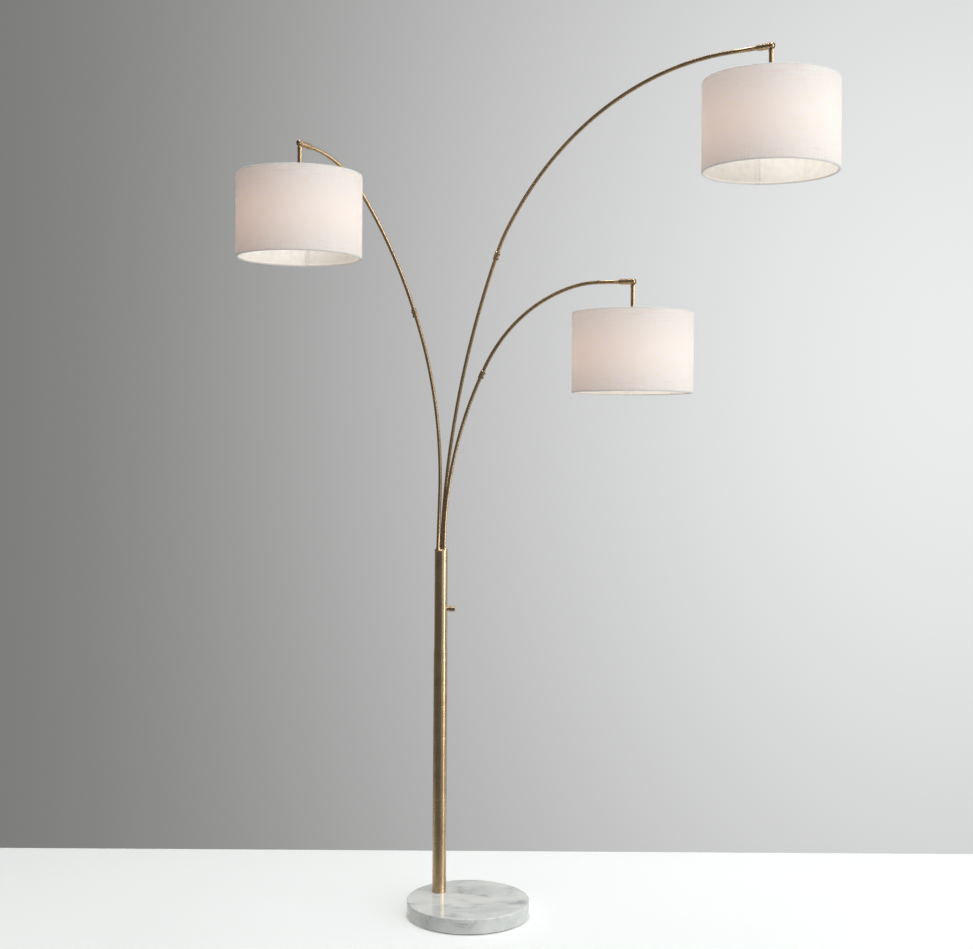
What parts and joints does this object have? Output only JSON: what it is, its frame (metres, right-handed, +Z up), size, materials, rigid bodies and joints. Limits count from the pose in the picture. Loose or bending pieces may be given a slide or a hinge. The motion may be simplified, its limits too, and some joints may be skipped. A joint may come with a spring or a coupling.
{
  "type": "tree floor lamp",
  "caption": "Floor lamp on a round marble foot: a brass pole with bent arms that turn in its cap, each ending in a pivoted drum shade.",
  "frame": {"origin": "middle of the foot's underside, on the floor", "axes": "+Z up; +X to the right of the lamp, the side that the tall arm reaches to; +Y to its back"},
  "size_m": [1.3906, 0.9719, 2.1666],
  "materials": {
    "white_marble": "polished",
    "antique_brass": "brushed",
    "plain_steel": "zinc plated",
    "black_plastic": "satin",
    "white_plastic": "satin",
    "wire_jacket": "satin",
    "shade_linen": "woven",
    "white_enamel": "gloss",
    "opal_glass": "opal",
    "grey_felt": "felt"
  },
  "bodies": {
    "stand": {"marble_foot": "white_marble", "foot_felt": "grey_felt", "foot_washer": "plain_steel", "foot_nut": "plain_steel", "tie_rod": "plain_steel", "pole_foot_plug": "plain_steel", "lower_pole": "antique_brass", "cord_inlet_bushing": "black_plastic", "pole_joint_plug": "plain_steel", "seam_ring": "antique_brass", "upper_pole": "antique_brass", "pole_cap": "antique_brass", "cap_ferrules": "antique_brass", "arm_root_nuts": "plain_steel", "switch_body": "black_plastic", "switch_nut": "antique_brass", "pole_wiring": "wire_jacket"},
    "knob": {"switch_knob": "antique_brass"},
    "tall_arm": {"tall_arm_lower_tube": "antique_brass", "tall_arm_coupler": "antique_brass", "tall_arm_clamp_screws": "antique_brass", "tall_arm_upper_tube": "antique_brass", "tall_arm_wire": "wire_jacket", "tall_arm_tip_fitting": "antique_brass", "tall_arm_pivot_screw": "antique_brass"},
    "tall_head": {"tall_stem": "antique_brass", "tall_holder_cup": "antique_brass", "tall_lamp_holder": "black_plastic", "tall_shade_ring": "white_plastic", "tall_shade": "shade_linen", "tall_shade_frame": "white_enamel", "tall_bulb": "opal_glass"},
    "middle_arm": {"middle_arm_lower_tube": "antique_brass", "middle_arm_coupler": "antique_brass", "middle_arm_clamp_screws": "antique_brass", "middle_arm_upper_tube": "antique_brass", "middle_arm_wire": "wire_jacket", "middle_arm_tip_fitting": "antique_brass", "middle_arm_pivot_screw": "antique_brass"},
    "middle_head": {"middle_stem": "antique_brass", "middle_holder_cup": "antique_brass", "middle_lamp_holder": "black_plastic", "middle_shade_ring": "white_plastic", "middle_shade": "shade_linen", "middle_shade_frame": "white_enamel", "middle_bulb": "opal_glass"},
    "low_arm": {"low_arm_lower_tube": "antique_brass", "low_arm_coupler": "antique_brass", "low_arm_clamp_screws": "antique_brass", "low_arm_upper_tube": "antique_brass", "low_arm_wire": "wire_jacket", "low_arm_tip_fitting": "antique_brass", "low_arm_pivot_screw": "antique_brass"},
    "low_head": {"low_stem": "antique_brass", "low_holder_cup": "antique_brass", "low_lamp_holder": "black_plastic", "low_shade_ring": "white_plastic", "low_shade": "shade_linen", "low_shade_frame": "white_enamel", "low_bulb": "opal_glass"}
  },
  "joints": [
    {"name": "switch_turn", "type": "hinge", "parent": "stand", "child": "knob", "pos_m": [-0.08, 0.059, 0.816], "axis": [1, 0, 0], "continuous": true},
    {"name": "tall_arm_turn", "type": "hinge", "parent": "stand", "child": "tall_arm", "pos_m": [-0.07942, 0.06848, 0.978], "axis": [0, 0, 1], "range_deg": [-10, 25]},
    {"name": "tall_shade_tilt", "type": "hinge", "parent": "tall_arm", "child": "tall_head", "pos_m": [0.66917, -0.65442, 2.15448], "axis": [-0.6947, -0.7193, 0], "range_deg": [-20, 45]},
    {"name": "middle_arm_turn", "type": "hinge", "parent": "stand", "child": "middle_arm", "pos_m": [-0.0885, 0.05476, 0.978], "axis": [0, 0, 1], "range_deg": [-25, 25]},
    {"name": "middle_shade_tilt", "type": "hinge", "parent": "middle_arm", "child": "middle_head", "pos_m": [-0.41643, -0.36497, 1.99469], "axis": [-0.788, 0.6157, 0], "range_deg": [-10, 45]},
    {"name": "low_arm_turn", "type": "hinge", "parent": "stand", "child": "low_arm", "pos_m": [-0.07208, 0.05376, 0.978], "axis": [0, 0, 1], "range_deg": [-25, 25]},
    {"name": "low_shade_tilt", "type": "hinge", "parent": "low_arm", "child": "low_head", "pos_m": [0.40769, -0.24603, 1.6776], "axis": [-0.5299, -0.848, 0], "range_deg": [-20, 45]}
  ]
}
